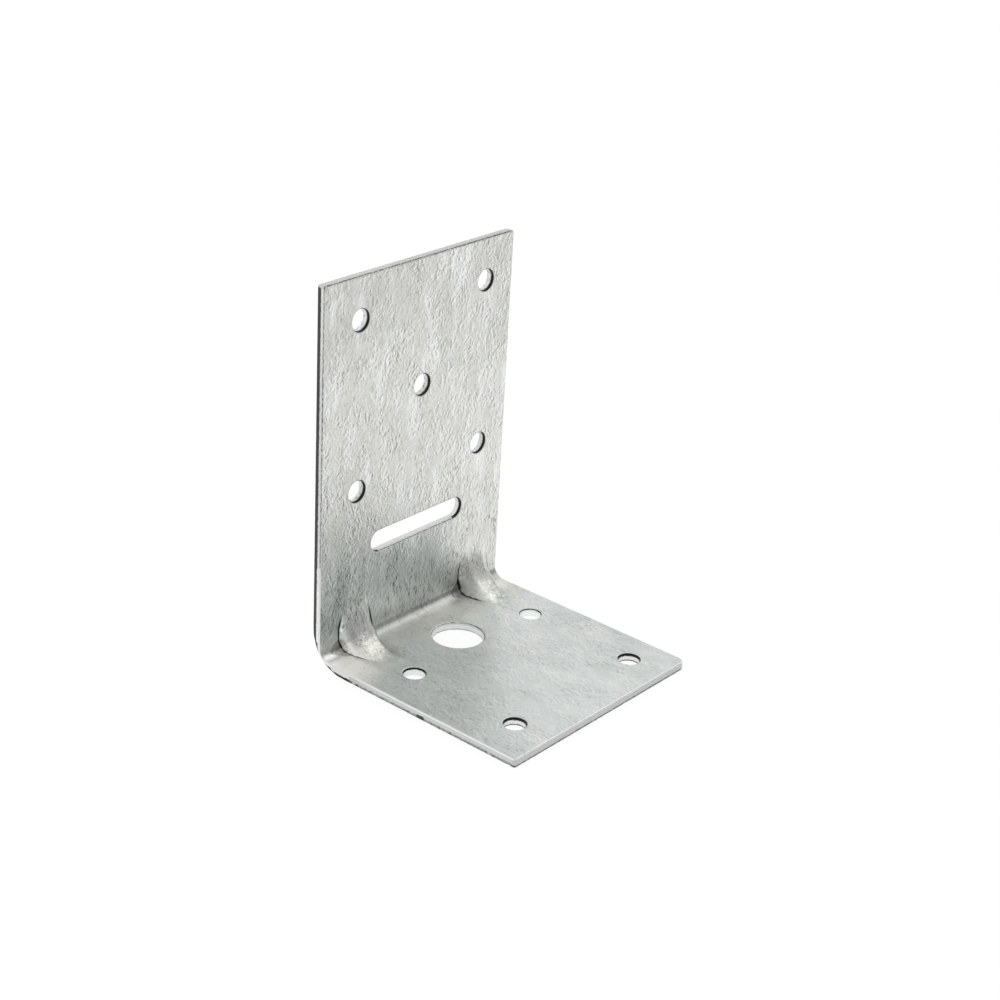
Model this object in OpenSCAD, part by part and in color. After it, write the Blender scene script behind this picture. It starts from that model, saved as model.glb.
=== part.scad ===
// Angle bracket: one galvanised steel sheet, folded once and stiffened by two ribs pressed across the fold.
// The upright leg stands at the back, and the base leg runs forward from it.
// The modules work from the heel: the back face lies at y = 0 and the underside at z = 0.

/* [Sheet] */
// Width of the sheet, measured along the fold
width = 60; // [56:1:90]
// Height of the upright leg above the underside
upright_height = 90; // [84:1:130]
// Length of the base leg from the back face
base_length = 60; // [46:1:100]
// Thickness of the sheet
thickness = 2; // [1.5:0.25:2.5]
// Radius on the inside of the fold
fold_radius = 3; // [2:0.5:4]
// Radius of the four free corners
corner_radius = 1; // [0.5:0.25:3]

/* [Punched pattern] */
// Distance between the left and right columns of holes
column_pitch = 40; // [36:1:42]
// Distance of the whole pattern to the right of the middle of the sheet
pattern_drift = 1; // [-1:0.5:1]
// Diameter of the small fixing holes
fixing_d = 5; // [4:0.5:6]
// Rounding that the punch leaves at the mouth of a hole, on the inner face
rim_radius = 0.4; // [0.1:0.05:0.5]

/* [Upright leg] */
// Top edge to the upper row of holes
top_margin = 10; // [8:1:14]
// Step from one row of holes to the next
row_pitch = 20; // [17:1:21]
// Height of the middle of the slot above the underside
slot_height = 25.5; // [22:0.5:28]
// Length of the slot from end to end
slot_length = 30; // [20:1:32]
// Width of the slot
slot_width = 5; // [4:0.5:6]

/* [Base leg] */
// Back face to the rear row of holes
rear_row = 21; // [20:0.5:26]
// Front edge to the front row of holes
front_margin = 9.5; // [7:0.5:14]
// Diameter of the anchor hole
anchor_d = 12; // [8:0.5:14]
// Back face to the middle of the anchor hole
anchor_setback = 16; // [14:0.5:20]

/* [Ribs] */
// Radius of the hollow curve that a rib's crest follows from leg to leg
rib_radius = 13; // [11:0.5:14]
// Width of a rib at its foot, on the inner face
rib_width = 10.2; // [9.6:0.2:12]
// Rounding of a rib's two shoulders
rib_shoulder = 2.75; // [2.75:0.25:4]

/* [Hidden] */
$fn = 64;
// Room by which a cutter passes the faces that it cuts
clear = 1;
// Depth by which a rib's ends run out under the faces of the legs
rib_runout = 0.15;
heel_radius = fold_radius + thickness;
rib_centre = thickness + rib_radius - rib_runout;
rib_reach = rib_centre * sqrt(2) + clear;
columns = [pattern_drift - column_pitch / 2, pattern_drift + column_pitch / 2];
upper_row = upright_height - top_margin;
lower_row = upper_row - 2 * row_pitch;
front_row = base_length - front_margin;

// Turns a section drawn as [forward and back, height] into a solid across the width
module across(length) {
    translate([-length / 2, 0, 0]) rotate([90, 0, 90]) linear_extrude(length) children();
}

// Section of the folded sheet: upright strip, base strip and the quarter ring of the fold
module sheet_section() {
    translate([-thickness, heel_radius]) square([thickness, upright_height - heel_radius]);
    translate([-base_length, 0]) square([base_length - heel_radius, thickness]);
    translate([-heel_radius, heel_radius]) intersection() {
        difference() {
            circle(heel_radius);
            circle(fold_radius);
        }
        translate([0, -heel_radius]) square(heel_radius);
    }
}

// Corner of a leg, cut back to a round of corner_radius: the waste lies towards +X and +Y
module corner_waste() {
    translate([-corner_radius, -corner_radius, -clear]) difference() {
        cube([corner_radius + clear, corner_radius + clear, thickness + 2 * clear]);
        cylinder(r = corner_radius, h = thickness + 2 * clear);
    }
}

// Waste at both free corners of a leg whose inner face is drawn in the XY plane, with its end at y = 0
module end_waste() {
    for (side = [0, 1]) mirror([side, 0, 0]) translate([width / 2, 0, -thickness]) corner_waste();
}

// Turns a drawing of the upright's inner face upright, with its y as the height
module on_upright() {
    translate([0, -thickness, 0]) rotate([90, 0, 0]) children();
}

// Lays a drawing of the base's inner face on the base, with its y as the distance to the back face
module on_base() {
    translate([0, 0, thickness]) children();
}

// Rolled mouth of a punched edge: the corner between the wall and the inner face
module rim_section() {
    translate([0, -rim_radius]) difference() {
        square([rim_radius, rim_radius + clear]);
        translate([rim_radius, 0]) circle(rim_radius);
    }
}

// Round hole punched from the inner face, which is the XY plane
module round_hole(d) {
    translate([0, 0, -thickness - clear]) cylinder(d = d, h = thickness + 2 * clear);
    rotate_extrude() translate([d / 2, 0]) rim_section();
}

// Slot with round ends, along X
module slot_hole() {
    straight = slot_length - slot_width;
    for (side = [-1, 1]) translate([side * straight / 2, 0, 0]) round_hole(slot_width);
    translate([-straight / 2, -slot_width / 2, -thickness - clear])
        cube([straight, slot_width, thickness + 2 * clear]);
    for (side = [0, 1]) mirror([0, side, 0]) translate([-straight / 2, slot_width / 2, 0])
        rotate([90, 0, 90]) linear_extrude(straight) rim_section();
}

module upright_holes() {
    on_upright() {
        for (x = columns, z = [lower_row, upper_row]) translate([x, z, 0]) round_hole(fixing_d);
        translate([pattern_drift, upper_row - row_pitch, 0]) round_hole(fixing_d);
        translate([pattern_drift, slot_height, 0]) slot_hole();
    }
}

module base_holes() {
    on_base() {
        for (x = columns, y = [rear_row, front_row]) translate([x, -y, 0]) round_hole(fixing_d);
        translate([pattern_drift, -anchor_setback, 0]) round_hole(anchor_d);
    }
}

// Cross-section of a rib, as [distance from the centre of the crest's curve, distance across]
module rib_section(radius, half, shoulder) {
    translate([radius + shoulder, -half]) square([rib_reach - radius - shoulder, 2 * half]);
    translate([radius, shoulder - half]) square([shoulder, 2 * (half - shoulder)]);
    for (side = [-1, 1]) translate([radius + shoulder, side * (half - shoulder)]) circle(shoulder);
}

// Both ribs swept from the upright to the base, with everything outside the crest filled
module rib_sweeps(radius, half, shoulder) {
    for (x = columns) translate([x, -rib_centre, rib_centre]) rotate([-90, 0, 90])
        rotate_extrude(angle = 90) rib_section(radius, half, shoulder);
}

// Inner side of the sheet's middle surface in the fold, which keeps a rib's fill off the outer faces
module fold_inside() {
    middle = thickness / 2;
    across(width) {
        translate([-rib_centre, heel_radius]) square([rib_centre - middle, rib_centre - heel_radius]);
        translate([-rib_centre, middle]) square([rib_centre - heel_radius, rib_centre - middle]);
        translate([-heel_radius, heel_radius]) circle(heel_radius - middle);
    }
}

// The sheet as folded, with its free corners rounded
module folded_sheet() {
    difference() {
        across(width) sheet_section();
        on_upright() translate([0, upright_height, 0]) end_waste();
        on_base() mirror([0, 1, 0]) translate([0, base_length, 0]) end_waste();
    }
}

// The ribs stand out on the inside and are hollow behind, so the sheet keeps its thickness over them
module bracket() {
    color("silver") translate([0, base_length / 2, 0]) difference() {
        union() {
            folded_sheet();
            intersection() {
                fold_inside();
                rib_sweeps(rib_radius, rib_width / 2, rib_shoulder);
            }
        }
        rib_sweeps(rib_radius + thickness, rib_width / 2 - thickness, rib_shoulder - thickness);
        upright_holes();
        base_holes();
    }
}

bracket();
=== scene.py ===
import math
import random

import bmesh
import bpy
from mathutils import Matrix, Vector
from mathutils.geometry import delaunay_2d_cdt


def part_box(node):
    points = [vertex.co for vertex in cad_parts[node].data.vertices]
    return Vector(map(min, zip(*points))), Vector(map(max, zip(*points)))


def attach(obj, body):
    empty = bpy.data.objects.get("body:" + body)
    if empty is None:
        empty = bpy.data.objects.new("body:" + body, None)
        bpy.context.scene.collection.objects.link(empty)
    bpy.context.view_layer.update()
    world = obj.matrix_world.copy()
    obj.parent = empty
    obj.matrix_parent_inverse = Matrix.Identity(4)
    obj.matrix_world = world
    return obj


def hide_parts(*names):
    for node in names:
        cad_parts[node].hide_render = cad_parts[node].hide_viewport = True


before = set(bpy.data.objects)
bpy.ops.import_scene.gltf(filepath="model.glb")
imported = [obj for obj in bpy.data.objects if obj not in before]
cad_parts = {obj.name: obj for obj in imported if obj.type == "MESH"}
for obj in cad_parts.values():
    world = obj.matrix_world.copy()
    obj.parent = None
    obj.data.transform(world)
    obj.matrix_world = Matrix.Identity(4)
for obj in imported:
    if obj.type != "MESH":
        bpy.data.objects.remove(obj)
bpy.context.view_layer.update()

# The blank is drawn flat in millimetres: x runs along the fold, s runs across it up the inner face
# of the sheet, with zero in the middle of the fold, and depth goes from the inner to the outer face.
MM = 0.001
LOW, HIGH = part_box("bracket")
WIDTH = (HIGH.x - LOW.x) / MM
BASE_LENGTH = (HIGH.y - LOW.y) / MM
UPRIGHT_HEIGHT = (HIGH.z - LOW.z) / MM
BACK = HIGH.y / MM
THICKNESS = 2.0
FOLD_RADIUS = 3.0
HEEL = FOLD_RADIUS + THICKNESS
HALF_FOLD = FOLD_RADIUS * math.pi / 4
S_TOP = UPRIGHT_HEIGHT - HEEL + HALF_FOLD
S_FRONT = HEEL - BASE_LENGTH - HALF_FOLD

# Punched pattern
PATTERN_DRIFT = 1.0
COLUMN_PITCH = 40.0
ROW_PITCH = 20.0
TOP_MARGIN = 10.0
SLOT_HEIGHT = 25.5
SLOT_LENGTH = 30.0
REAR_ROW = 21.0
FRONT_MARGIN = 9.5
ANCHOR_SETBACK = 16.0
FIXING_RADIUS = 2.5
ANCHOR_RADIUS = 6.0

# Radii of the free corners: top left, top right, front left, front right
CORNER_TOP_LEFT = 0.6
CORNER_TOP_RIGHT = 0.8
CORNER_FRONT_LEFT = 0.6
CORNER_FRONT_RIGHT = 1.9

# Sheared edges: rolled mouth, burnished band and torn band
RIM_RADIUS = 0.4
RIM_STEPS = 4
TEAR_DEPTH = 1.5
TEAR_LEDGE = 0.06
TEAR = 0.05
JAG = 0.02
BURR = 0.04
SUPPORT = 0.14
EDGE_STEP = 0.3
INNER_MARGIN = RIM_RADIUS + SUPPORT
OUTER_MARGIN = 0.1 + SUPPORT

# Stretches of the sides, as distances from the middle of the fold, and a dark nick in the near one
HEEL_ZONE = 3.2
NEAR_HEEL_ZONE = 9.0
LOW_ZONE = 22.0
NICK = (-29.6, -31.6)

# Looks of each kind of edge: painted shade in the mouth, tears, where the torn band starts as a share of
# the thickness, how deep the painted shade reaches in millimetres, and brightness of the burnished band
UPRIGHT_HOLE = (1.0, 0.37, 0.36, 0.75, 1.0)
# At the front holes the torn band starts high, so that its dark also paints the shadow line low in the
# opening
FRONT_HOLE = (1.1, 1.2, 0.84, 0.75, 0.90)
NEAR_HOLE = (0.95, 0.2, 0.74, 0.55, 0.92)
FAR_HOLE = (0.60, 0.2, 0.74, 0.30, 1.0)
ANCHOR_HOLE = (0.44, 0.48, 0.80, 0.26, 0.82)
SLOT_SIDE = (0.50, 0.10, 0.86, 0.18, 0.82)
SLOT_END = (1.0, 0.30, 0.62, 0.80, 0.90)
UPRIGHT_EDGE = (0.42, 0.70, 0.46, 0.34, 0.86)
LOW_EDGE = (0.20, 0.66, 0.50, 0.30, 1.0)
HEEL_EDGE = (0.20, 1.0, 0.34, 0.30, 0.94)
NEAR_HEEL_EDGE = (0.20, 1.0, 0.62, 0.30, 0.88)
NICK_EDGE = (0.20, 1.4, 0.50, 0.30, 0.72)
TOP_EDGE = (0.46, 0.2, 0.74, 0.34, 0.66)
BASE_EDGE = (0.0, 0.46, 0.58, 0.25, 0.66)
FRONT_EDGE = (0.0, 0.50, 0.68, 0.25, 0.59)

# Ribs
RIB_RADIUS = 13.0
RIB_RUNOUT = 0.15
RIB_CREST = 1.9
RIB_SHOULDER = 2.6
RIB_SLOPE = 4.0
RIB_TAPER = 0.25
RIB_BLEND = 0.4
RIB_SOFT_FOOT = 1.6
RIB_ZONE = 8.0
RIB_REACH = 14.0

# Outer corner of the fold, drawn in at both ends of the fold
END_RADIUS = 9.0
END_REACH = 1.5
END_DRAW = 0.5
END_BULGE = 0.9
END_BLEND = 0.2

# Smallest shoulder of a rib's outer face, as a share of the thickness, and how fast a press opens
# past the fold
TIGHTEST = 0.05
RUN_OUT = 0.25

# Points inside the faces of the blank, closer where the ribs and the fold bend it
FINE_GRID = 0.3
FOLD_GRID = 0.6
COARSE_GRID = 2.4
GRID_MARGIN = 0.75
FOLD_ZONE = HALF_FOLD + 1.5

# Colours of the zinc in its regions, of cut places, and of the painted shade and highlight at cut mouths
# and creases
UPPER_PLAIN = (0.790, 0.800, 0.760, 1)
UPPER_DRIPS = (0.800, 0.826, 0.815, 1)
# Colour of the upright under the painted shade above the fold
UPPER_SHADED = (0.735, 0.775, 0.750, 1)
LOWER_COOL = (0.664, 0.711, 0.706, 1)
LOWER_WARM = (0.690, 0.703, 0.674, 1)
LOWER_WORN = (0.72, 0.710, 0.660, 1)
# Painted highlight along the rolled mouths of the cuts
ROLLED_HIGHLIGHT = (0.93, 0.945, 0.93, 1)
# Dark of the torn band, which at the front holes is also a painted shadow line
TORN_STEEL_AND_SHADOW = (0.07, 0.07, 0.07, 1)
# Painted shade in the mouths of the cut edges
MOUTH_SHADE = (0.018, 0.020, 0.018, 1)
# Painted shade in the creases beside the ribs
CREASE_SHADE = (0.02, 0.022, 0.025, 1)

# Finish of the zinc, how far apart its patterns are on the two faces, and the distance over which the
# wrinkles of the coat show a painted lit side and a painted shaded side
METALLIC = 0.78
ROUGHNESS = 0.34
BUMP_HEIGHT = 0.04
FACES_APART = 13
RELIEF_STEP = 0.22

# Places with two soft borders: where each starts, is full, is full no more and ends. All are in s but
# for the last two, which are in x from a crest
# Rows of the painted shade on the upright above the fold
LOW_SHADE_ROWS = (0.0, 3.0, 12.0, 27.0)
# Rows of the painted light on the right of the upright
BRIGHT_ROWS = (4.0, 12.0, 32.0, 44.0)
# Rows of the rib crests' smoother finish and of their painted light and shade
CREST_LIGHT_ROWS = (-12.0, -8.0, 0.0, 3.0)
FOLD_ROWS = (-1.6, -0.9, 0.6, 1.8)
SEAM_ROWS = (0.0, 0.5, 0.9, 1.6)
STRIP_ROWS = (-26.0, -8.0, -2.2, -1.2)
NEAR_STRIP_ROWS = (-7.0, -3.5, -2.4, -1.0)
CORNER_ROWS = (-17.0, -6.0, -0.4, 0.6)
BEYOND_ROWS = (-14.0, -7.0, -2.0, 2.0)
FOLD_TOP_ROWS = (0.2, 0.8, 2.0, 6.0)
TIP_ROWS = (-5.5, -3.2, -1.2, -0.4)
BESIDE_ROWS = (-13.0, -7.0, -3.6, -2.0)
# Rows of the painted gleam beside the steep crease
GLEAM_ROWS = (2.5, 4.5, 7.0, 8.8)
BESIDE_FOOT = (1.6, 2.8, 4.5, 6.5)
RIGHT_FLANK = (-6.0, -4.5, -2.0, 0.0)

# Places with one soft border: where each starts and where it is full. The first five are in s, the
# next three are distances from a crest, and the others are in x
LOW_PART = (34.0, 10.0)
TOP_PART = (50.0, 84.0)
TOP_LEFT_UP = (62.0, 78.0)
FAR_BASE_DOWN = (-16.0, -26.0)
RIB_PART = (11.0, 7.0)
ON_RIB = (6.0, 3.0)
ON_CREST = (4.4, 2.6)
OFF_CREST = (4.4, 5.4)
TOP_LEFT_ASIDE = (0.0, -14.0)
# Side of the painted shade on the upright above the fold
LOW_SHADE_ASIDE = (20.0, 2.0)
BRIGHT_ASIDE = (6.0, 16.0)
FAR_BASE_ASIDE = (8.0, 22.0)
STRIP_ASIDE = (22.0, 10.0)
NEAR_STRIP_ASIDE = (0.0, 12.0)
CORNER_ASIDE = (-17.0, -24.0)
BEYOND_ASIDE = (20.0, 26.0)
FOLD_TOP_ASIDE = (-23.0, -25.0)
TIP_ASIDE = (-25.2, -27.4)
LEFT_SIDE = (5.0, -5.0)

# How much marks and regions of the coat are lighter or darker than its colour; the shade above the fold
# is painted shade and the lift on the right of the upright painted light
MARK_SHADE = 0.48
SCRATCH_LIFT = 0.16
TOP_SHADE = 0.07
TOP_LEFT_SHADE = 0.05
LOW_SHADE_STRENGTH = 0.17
BRIGHT_LIFT = 0.06
FAR_BASE_SHADE = 0.05

# How much each place lightens the zinc, or darkens it where the sum takes it away: all are painted light
# and shade, but for the rubbed corner, which is lightened further as painted light
STRIP_LIFT = 0.24
CORNER_WEAR_AND_LIFT = 0.34
TIP_GLINT = 0.30
NEAR_STRIP_LIFT = 0.25
FOLD_TOP_LIFT = 0.20
GLEAM_LIFT = 0.35
FOLD_SHADE = 0.12
BEYOND_SHADE = 0.10
SEAM_SHADE = 0.16
BESIDE_SHADE = 0.24
RIGHT_FLANK_LIFT = 0.25
CREST_SHADE = 0.13
LEFT_CREST_SHADE = 0.10

# How much the blotches and the fine grain of the rubbed corner, the far left end and the rib crests
# lighten or darken them
CORNER_BLOTCH = 0.5
CREST_BLOTCH = 1.2
CORNER_GRAIN = 1.5
CREST_GRAIN = 0.9

# How far the borders of grime and tears wander, in millimetres, and tint of the burnished band
RAGGED = 0.9
BURNISH_TINT = 0.98

# Painted shade in the creases beside the ribs: how the creases wander, distance of a crease from the
# crest on the steep side, on the part below the fold and on the soft side, and how the last two run on
# along the rib
CREASE_JITTER = 0.16
STEEP_FOOT = 5.0
LOWER_FOOT = 4.93
LOWER_CURVE = 0.0225
SOFT_FOOT = 5.95
SOFT_START = 1.6
SOFT_SLOPE = 0.24

# The painted shade of a pit left of a rib, its upper rim and its lower border: s at a distance from the
# crest, that distance, and the slope
PIT_RIM = (1.9, 5.2, 0.46)
PIT_LOW = (-0.4, 8.5, 0.75)

# How much each part of the zinc is rougher or smoother than the coat, and the worn corner less metallic
TINT_ROUGH = 0.05
DRIP_SMOOTH = 0.06
CORNER_ROUGH = 0.28
STRIP_ROUGH = 0.12
TORN_ROUGH = 0.25
WALL_SMOOTH = 0.08
CREST_SMOOTH = 0.03
CORNER_FROST = 0.42

# Room
ROOM_LEVEL = 1.0
ROOM_FRONT = 0.28
ROOM_SIDE = 0.22
ROOM_UP = 0.4
ROOM_SPAN = (-0.8, 0.7)
FLOOR_SIZE = 6
FLOOR_PAINT = (0.93, 0.93, 0.93, 1)
GROUND_WHITE = 0.85
GROUND_GLOW = 1.06
KEY_WAY = (0.70, -0.20, 0.69)
KEY_AIM = (0, 0, 0.04)
KEY_DISTANCE = 0.9
KEY_SIZE = 0.6
KEY_WATTS = 0.5

columns = [PATTERN_DRIFT - COLUMN_PITCH / 2, PATTERN_DRIFT + COLUMN_PITCH / 2]


def on_upright(height):
    return height - HEEL + HALF_FOLD


def on_base(setback):
    return HEEL - setback - HALF_FOLD


upper_row = UPRIGHT_HEIGHT - TOP_MARGIN
lower_row = upper_row - 2 * ROW_PITCH
front_row = BASE_LENGTH - FRONT_MARGIN
upright_rows = [on_upright(upper_row), on_upright(lower_row)]
ROUND_HOLES = [(x, s, FIXING_RADIUS, UPRIGHT_HOLE) for x in columns for s in upright_rows]
ROUND_HOLES += [
    (PATTERN_DRIFT, on_upright(upper_row - ROW_PITCH), FIXING_RADIUS, UPRIGHT_HOLE),
    (columns[0], on_base(front_row), FIXING_RADIUS, FRONT_HOLE),
    (columns[1], on_base(front_row), FIXING_RADIUS, FRONT_HOLE),
    (columns[0], on_base(REAR_ROW), FIXING_RADIUS, NEAR_HOLE),
    (columns[1], on_base(REAR_ROW), FIXING_RADIUS, FAR_HOLE),
    (PATTERN_DRIFT, on_base(ANCHOR_SETBACK), ANCHOR_RADIUS, ANCHOR_HOLE),
]
SLOT = (PATTERN_DRIFT, on_upright(SLOT_HEIGHT), SLOT_LENGTH / 2 - FIXING_RADIUS)


def arc(cx, cy, radius, start, turn, outward, kind):
    """Points of an arc, each with the normal into the void and the kind of edge."""
    count = max(6, round(radius * abs(turn) / (EDGE_STEP * 0.8)))
    points = []
    for i in range(count):
        a = start + turn * i / count
        nx = math.cos(a)
        ny = math.sin(a)
        points.append((cx + radius * nx, cy + radius * ny, outward * nx, outward * ny, kind))
    return points


def straight(ax, ay, bx, by, nx, ny, kind):
    """Points from a up to b, without b itself."""
    count = max(1, round(math.hypot(bx - ax, by - ay) / EDGE_STEP))
    steps = [i / count for i in range(count)]
    return [(ax + (bx - ax) * k, ay + (by - ay) * k, nx, ny, kind) for k in steps]


def sheet_outline():
    """Outline of the blank, anticlockwise from the front left corner."""
    half = WIDTH / 2
    quarter = math.pi / 2
    fr, fl = CORNER_FRONT_RIGHT, CORNER_FRONT_LEFT
    tr, tl = CORNER_TOP_RIGHT, CORNER_TOP_LEFT
    points = straight(-half + fl, S_FRONT, half - fr, S_FRONT, 0, -1, FRONT_EDGE)
    points += arc(half - fr, S_FRONT + fr, fr, -quarter, quarter, 1, FRONT_EDGE)
    points += straight(half, S_FRONT + fr, half, -NEAR_HEEL_ZONE, 1, 0, BASE_EDGE)
    points += straight(half, -NEAR_HEEL_ZONE, half, -HEEL_ZONE, 1, 0, NEAR_HEEL_EDGE)
    points += straight(half, -HEEL_ZONE, half, HEEL_ZONE, 1, 0, HEEL_EDGE)
    points += straight(half, HEEL_ZONE, half, LOW_ZONE, 1, 0, LOW_EDGE)
    points += straight(half, LOW_ZONE, half, S_TOP - tr, 1, 0, UPRIGHT_EDGE)
    points += arc(half - tr, S_TOP - tr, tr, 0, quarter, 1, TOP_EDGE)
    points += straight(half - tr, S_TOP, -half + tl, S_TOP, 0, 1, TOP_EDGE)
    points += arc(-half + tl, S_TOP - tl, tl, quarter, quarter, 1, TOP_EDGE)
    points += straight(-half, S_TOP - tl, -half, LOW_ZONE, -1, 0, UPRIGHT_EDGE)
    points += straight(-half, LOW_ZONE, -half, HEEL_ZONE, -1, 0, LOW_EDGE)
    points += straight(-half, HEEL_ZONE, -half, -HEEL_ZONE, -1, 0, HEEL_EDGE)
    points += straight(-half, -HEEL_ZONE, -half, -NEAR_HEEL_ZONE, -1, 0, NEAR_HEEL_EDGE)
    points += straight(-half, -NEAR_HEEL_ZONE, -half, NICK[0], -1, 0, BASE_EDGE)
    points += straight(-half, NICK[0], -half, NICK[1], -1, 0, NICK_EDGE)
    points += straight(-half, NICK[1], -half, S_FRONT + fl, -1, 0, BASE_EDGE)
    points += arc(-half + fl, S_FRONT + fl, fl, 2 * quarter, quarter, 1, FRONT_EDGE)
    return points


def round_hole(cx, cy, radius, kind):
    return arc(cx, cy, radius, 0, 2 * math.pi, -1, kind)


def slot_hole(cx, cy, reach):
    """Outline of the slot: reach is half the length of its straight sides."""
    r = FIXING_RADIUS
    half = math.pi / 2
    points = straight(cx - reach, cy - r, cx + reach, cy - r, 0, 1, SLOT_SIDE)
    points += arc(cx + reach, cy, r, -half, math.pi, -1, SLOT_END)
    points += straight(cx + reach, cy + r, cx - reach, cy + r, 0, -1, SLOT_SIDE)
    points += arc(cx - reach, cy, r, half, math.pi, -1, SLOT_END)
    return points


def void_distance(x, s):
    """Distance from the nearest void of the blank, negative inside the material."""
    best = max(abs(x) - WIDTH / 2, s - S_TOP, S_FRONT - s)
    for cx, cy, radius, _ in ROUND_HOLES:
        best = max(best, radius - math.hypot(x - cx, s - cy))
    dx = max(abs(x - SLOT[0]) - SLOT[2], 0.0)
    return max(best, FIXING_RADIUS - math.hypot(dx, s - SLOT[1]))


def grid_points():
    """Points inside a face, column by column between the sides and the ribs."""
    points = []

    def fill(x0, x1, dx, s0, s1, ds):
        for i in range(max(1, round((x1 - x0) / dx))):
            for j in range(max(1, round((s1 - s0) / ds))):
                points.append((x0 + (i + 0.5) * dx, s0 + (j + 0.5) * ds))

    edges = [-WIDTH / 2 + FINE_GRID]
    for x in columns:
        edges += [x - RIB_ZONE, x + RIB_ZONE]
    edges.append(WIDTH / 2 - FINE_GRID)
    edges[1] = max(edges[1], edges[0])
    edges[4] = min(edges[4], edges[5])
    for k in range(5):
        in_rib = k in (1, 3)
        reach = RIB_REACH if in_rib else FOLD_ZONE
        dx = FINE_GRID if in_rib else FOLD_GRID
        fill(edges[k], edges[k + 1], dx, -reach, reach, FINE_GRID)
        fill(edges[k], edges[k + 1], COARSE_GRID, reach, S_TOP, COARSE_GRID)
        fill(edges[k], edges[k + 1], COARSE_GRID, S_FRONT, -reach, COARSE_GRID)
    return [p for p in points if void_distance(*p) < -GRID_MARGIN]


class Blank:
    """The punched sheet before it is folded, with its inner face up at height zero."""

    def __init__(self):
        self.verts = []
        self.cut = []
        self.kind = []
        self.faces = []

    def ring(self, contour, offset, depth, cut, wobble=None):
        """One ring of points along a contour, moved into the void by offset and down by depth."""
        first = len(self.verts)
        for i, (x, s, nx, ns, kind) in enumerate(contour):
            out = offset + (wobble[i] if wobble else 0.0)
            self.verts.append((x + nx * out, s + ns * out, -depth))
            self.cut.append(cut)
            self.kind.append(kind)
        return list(range(first, len(self.verts)))

    def band(self, a, b):
        n = len(a)
        for i in range(n):
            j = (i + 1) % n
            self.faces.append((a[i], a[j], b[j], b[i]))

    def wall(self, contour, seed):
        """Rings round a punched or sheared contour, from the inner face to the outer face."""
        draw = random.Random(seed)

        def torn(offset, depth, jag):
            wobble = [draw.uniform(-jag, jag) for _ in contour]
            return self.ring(contour, offset, depth, 1.0, wobble)

        rings = [self.ring(contour, -INNER_MARGIN, 0.0, 0.0)]
        for k in range(RIM_STEPS + 1):
            a = math.pi / 2 * k / RIM_STEPS
            offset = RIM_RADIUS * (math.sin(a) - 1)
            depth = RIM_RADIUS * (1 - math.cos(a))
            rings.append(self.ring(contour, offset, depth, k / RIM_STEPS))
        rings.append(self.ring(contour, 0.0, TEAR_DEPTH, 1.0))
        rings.append(torn(-TEAR * 0.6, TEAR_DEPTH + TEAR_LEDGE, JAG))
        rings.append(torn(-TEAR, (TEAR_DEPTH + THICKNESS) / 2, JAG * 1.25))
        rings.append(torn(-TEAR * 1.2, THICKNESS - BURR, JAG))
        rings.append(self.ring(contour, SUPPORT - OUTER_MARGIN, THICKNESS, 0.6))
        rings.append(self.ring(contour, -OUTER_MARGIN, THICKNESS, 0.0))
        for a, b in zip(rings, rings[1:]):
            self.band(a, b)
        return rings[0], rings[-1]

    def face(self, loops, depth, margin, grid):
        """Fills one face of the sheet between the rings that lie margin inside all contours."""
        used = [i for loop in loops for i in loop]
        edges = []
        start = 0
        for loop in loops:
            n = len(loop)
            edges += [(start + i, start + (i + 1) % n) for i in range(n)]
            start += n
        coords = [Vector(self.verts[i][:2]) for i in used] + [Vector(p) for p in grid]
        out, _, tris, origin, _, _ = delaunay_2d_cdt(coords, edges, [], 1, 1e-5)
        index = []
        for k, source in enumerate(origin):
            if source and source[0] < len(used):
                index.append(used[source[0]])
            else:
                index.append(len(self.verts))
                self.verts.append((out[k].x, out[k].y, -depth))
                self.cut.append(0.0)
                self.kind.append((0.0,) * 5)
        for tri in tris:
            cx = sum(out[k].x for k in tri) / 3
            cy = sum(out[k].y for k in tri) / 3
            if void_distance(cx, cy) < 0.001 - margin:
                self.faces.append(tuple(index[k] for k in tri))

    def mesh(self):
        mesh = bpy.data.meshes.new("bracket_sheet")
        mesh.from_pydata([Vector(v) * MM for v in self.verts], [], self.faces)
        flat = mesh.attributes.new("flat", "FLOAT_VECTOR", "POINT")
        flat.data.foreach_set("vector", [c for v in self.verts for c in v])
        edge = mesh.attributes.new("edge", "FLOAT_VECTOR", "POINT")
        edge.data.foreach_set("vector", [c for kind in self.kind for c in kind[:3]])
        wall = mesh.attributes.new("wall", "FLOAT_VECTOR", "POINT")
        wall.data.foreach_set("vector", [c for kind in self.kind for c in (*kind[3:], 0.0)])
        cut = mesh.attributes.new("cut", "FLOAT", "POINT")
        cut.data.foreach_set("value", self.cut)
        work = bmesh.new()
        work.from_mesh(mesh)
        bmesh.ops.recalc_face_normals(work, faces=work.faces)
        work.to_mesh(mesh)
        work.free()
        return mesh


class Sums:
    """Short names for the arithmetic nodes of a tree."""

    def __init__(self, tree):
        self.tree = tree

    def node(self, kind, **settings):
        node = self.tree.nodes.new(kind)
        for key, value in settings.items():
            setattr(node, key, value)
        return node

    def feed(self, socket, value):
        if isinstance(value, bpy.types.NodeSocket):
            self.tree.links.new(value, socket)
        else:
            socket.default_value = value

    def do(self, operation, *values):
        node = self.node("ShaderNodeMath", operation=operation)
        for socket, value in zip(node.inputs, values):
            self.feed(socket, value)
        return node.outputs[0]

    def add(self, a, b):
        return self.do("ADD", a, b)

    def sub(self, a, b):
        return self.do("SUBTRACT", a, b)

    def mul(self, a, b):
        return self.do("MULTIPLY", a, b)

    def div(self, a, b):
        return self.do("DIVIDE", a, b)

    def length(self, a, b):
        return self.do("SQRT", self.add(self.mul(a, a), self.mul(b, b)))


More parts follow.
